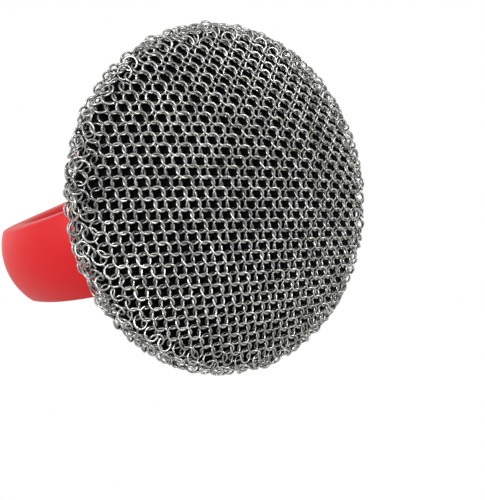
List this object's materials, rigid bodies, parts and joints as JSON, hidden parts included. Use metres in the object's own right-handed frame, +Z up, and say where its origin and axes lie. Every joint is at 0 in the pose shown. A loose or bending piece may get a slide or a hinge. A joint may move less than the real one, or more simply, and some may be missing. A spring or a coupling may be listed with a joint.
{
  "type": "pot scrubber",
  "caption": "Round chain mail scrubber pad over a rubber core, held under a domed cover with an arched hand grip, for scouring pans.",
  "frame": {"origin": "on the ground under the middle of the round pad", "axes": "+Z up from the mail to the grip, X along the arch of the grip, Y across it"},
  "size_m": [0.1246, 0.1203, 0.1043],
  "materials": {
    "red_plastic": "satin",
    "black_rubber": "matte",
    "black_plastic": "matte",
    "steel": "polished wire"
  },
  "bodies": {
    "root": {"clamp_plate": "black_plastic", "core_pad": "black_rubber", "dome_cover": "red_plastic", "grip_arch": "red_plastic", "grip_screws": "steel", "mail_course_01": "steel", "mail_course_02": "steel", "mail_course_03": "steel", "mail_course_04": "steel", "mail_course_05": "steel", "mail_course_06": "steel", "mail_course_07": "steel", "mail_course_08": "steel", "mail_course_09": "steel", "mail_course_10": "steel", "mail_course_11": "steel", "mail_course_12": "steel", "mail_course_13": "steel", "mail_course_14": "steel", "mail_course_15": "steel", "mail_course_16": "steel", "mail_course_17": "steel", "mail_course_18": "steel", "mail_course_19": "steel", "mail_course_20": "steel", "mail_course_21": "steel", "mail_course_22": "steel", "mail_course_23": "steel", "mail_course_24": "steel", "mail_course_25": "steel", "mail_course_26": "steel", "mail_course_27": "steel", "mail_course_28": "steel", "mail_course_29": "steel", "mail_course_30": "steel", "mail_course_31": "steel", "mail_rest_patch": "steel", "mail_rim_01": "steel", "mail_rim_02": "steel", "mail_rim_03": "steel", "mail_rim_04": "steel"}
  },
  "joints": []
}
